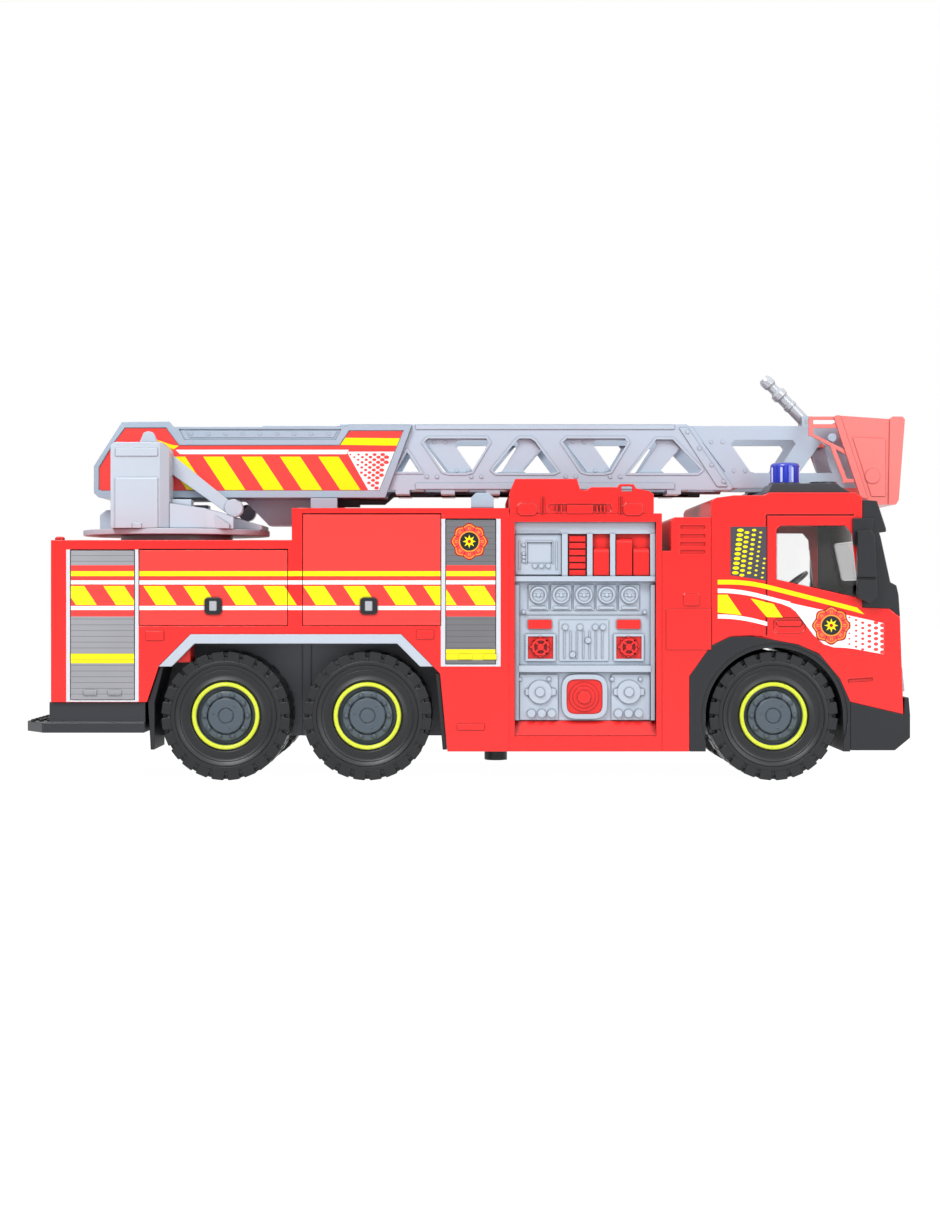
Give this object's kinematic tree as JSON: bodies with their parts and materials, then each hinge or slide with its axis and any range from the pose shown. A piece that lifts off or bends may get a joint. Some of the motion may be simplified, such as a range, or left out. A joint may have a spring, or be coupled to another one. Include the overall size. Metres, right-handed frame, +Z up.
{
  "type": "toy ladder fire engine",
  "caption": "Large plastic toy fire engine with a slewing, lifting, extending ladder, a rescue basket, opening locker doors and free-rolling wheels.",
  "frame": {"origin": "on the ground, at the middle of the overall length and width", "axes": "+X to the vehicle's front, +Y to its left, +Z up"},
  "size_m": [0.622, 0.194, 0.2911],
  "materials": {
    "red_plastic": "smooth moulded red plastic",
    "light_red_plastic": "smooth moulded light red plastic",
    "grey_plastic": "smooth moulded grey plastic",
    "black_plastic": "satin moulded black plastic",
    "clear_plastic": "clear moulded plastic",
    "blue_lens": "tinted blue lens",
    "tyre_rubber": "soft dark tyre material",
    "hub_plastic": "moulded blue-grey plastic",
    "steel": "plain steel rod",
    "silver_plastic": "silver plastic"
  },
  "bodies": {
    "vehicle": {"arch_trims": "grey_plastic", "beacons": "blue_lens", "body_deck": "red_plastic", "body_side_left": "red_plastic", "body_side_right": "red_plastic", "body_tail": "red_plastic", "cab_column": "red_plastic", "cab_interior": "black_plastic", "cab_shell": "red_plastic", "chassis": "black_plastic", "front_arches": "black_plastic", "front_bumper": "black_plastic", "grille": "black_plastic", "headlights": "clear_plastic", "light_tray": "black_plastic", "lockers_left": "grey_plastic", "lockers_right": "grey_plastic", "mirrors": "black_plastic", "mud_flaps": "black_plastic", "pump_frame": "red_plastic", "pump_inserts": "red_plastic", "pump_panels": "grey_plastic", "rear_step": "black_plastic", "roof_blocks": "grey_plastic", "roof_boxes": "red_plastic", "side_glass": "clear_plastic", "wheel_liners": "black_plastic", "windscreen_glass": "clear_plastic", "windscreen_surround": "black_plastic"},
    "rear_wheels": {"rear_axle": "steel", "rear_hubs": "hub_plastic", "rear_tyres": "tyre_rubber"},
    "mid_wheels": {"mid_axle": "steel", "mid_hubs": "hub_plastic", "mid_tyres": "tyre_rubber"},
    "front_wheels": {"front_axle": "steel", "front_hubs": "hub_plastic", "front_tyres": "tyre_rubber"},
    "turntable": {"turntable_base": "grey_plastic", "turntable_towers": "grey_plastic"},
    "ladder": {"boom": "red_plastic", "outer_ladder": "grey_plastic", "water_hose": "black_plastic"},
    "ladder_top": {"inner_ladder": "grey_plastic"},
    "rescue_basket": {"basket": "light_red_plastic"},
    "water_nozzle": {"nozzle": "silver_plastic"},
    "rear_shutter_right_door": {"rear_shutter_right": "grey_plastic"},
    "rear_shutter_left_door": {"rear_shutter_left": "grey_plastic"},
    "rear_flap_right_door": {"rear_flap_right": "red_plastic"},
    "rear_flap_left_door": {"rear_flap_left": "red_plastic"},
    "roof_flap_right_door": {"roof_flap_right": "red_plastic"},
    "roof_flap_left_door": {"roof_flap_left": "red_plastic"},
    "mid_shutter_right_door": {"mid_shutter_right": "grey_plastic"},
    "mid_shutter_left_door": {"mid_shutter_left": "grey_plastic"}
  },
  "joints": [
    {"name": "rear_axle_spin", "type": "hinge", "parent": "vehicle", "child": "rear_wheels", "pos_m": [-0.1699, 0, 0.0447], "axis": [0, 1, 0], "continuous": true},
    {"name": "mid_axle_spin", "type": "hinge", "parent": "vehicle", "child": "mid_wheels", "pos_m": [-0.0714, 0, 0.0447], "axis": [0, 1, 0], "continuous": true},
    {"name": "front_axle_spin", "type": "hinge", "parent": "vehicle", "child": "front_wheels", "pos_m": [0.211, 0, 0.0447], "axis": [0, 1, 0], "continuous": true},
    {"name": "turntable_turn", "type": "hinge", "parent": "vehicle", "child": "turntable", "pos_m": [-0.216, 0, 0.167], "axis": [0, 0, 1], "continuous": true},
    {"name": "ladder_lift", "type": "hinge", "parent": "turntable", "child": "ladder", "pos_m": [-0.2436, 0, 0.227], "axis": [0, -1, 0], "range_deg": [0, 60]},
    {"name": "ladder_extend", "type": "slide", "parent": "ladder", "child": "ladder_top", "axis": [1, 0, 0], "range_m": [0, 0.23]},
    {"name": "basket_tilt", "type": "hinge", "parent": "ladder_top", "child": "rescue_basket", "pos_m": [0.2622, 0, 0.2427], "axis": [0, -1, 0], "range_deg": [-60, 0]},
    {"name": "nozzle_tilt", "type": "hinge", "parent": "ladder_top", "child": "water_nozzle", "pos_m": [0.2475, 0, 0.256], "axis": [0, 1, 0], "range_deg": [-15, 110]},
    {"name": "rear_shutter_right_hinge", "type": "hinge", "parent": "vehicle", "child": "rear_shutter_right_door", "pos_m": [0, -0.088, 0.1587], "axis": [-1, 0, 0], "range_deg": [0, 90]},
    {"name": "rear_shutter_left_hinge", "type": "hinge", "parent": "vehicle", "child": "rear_shutter_left_door", "pos_m": [0, 0.088, 0.1587], "axis": [1, 0, 0], "range_deg": [0, 90]},
    {"name": "rear_flap_right_hinge", "type": "hinge", "parent": "vehicle", "child": "rear_flap_right_door", "pos_m": [0, -0.088, 0.159], "axis": [-1, 0, 0], "range_deg": [0, 90]},
    {"name": "rear_flap_left_hinge", "type": "hinge", "parent": "vehicle", "child": "rear_flap_left_door", "pos_m": [0, 0.088, 0.159], "axis": [1, 0, 0], "range_deg": [0, 90]},
    {"name": "roof_flap_right_hinge", "type": "hinge", "parent": "vehicle", "child": "roof_flap_right_door", "pos_m": [0, -0.088, 0.1837], "axis": [-1, 0, 0], "range_deg": [0, 90]},
    {"name": "roof_flap_left_hinge", "type": "hinge", "parent": "vehicle", "child": "roof_flap_left_door", "pos_m": [0, 0.088, 0.1837], "axis": [1, 0, 0], "range_deg": [0, 90]},
    {"name": "mid_shutter_right_hinge", "type": "hinge", "parent": "vehicle", "child": "mid_shutter_right_door", "pos_m": [0, -0.088, 0.18], "axis": [-1, 0, 0], "range_deg": [0, 90]},
    {"name": "mid_shutter_left_hinge", "type": "hinge", "parent": "vehicle", "child": "mid_shutter_left_door", "pos_m": [0, 0.088, 0.18], "axis": [1, 0, 0], "range_deg": [0, 90]}
  ],
  "couplings": [
    {"joint": "basket_tilt", "follows": "ladder_lift", "ratio": -1}
  ]
}
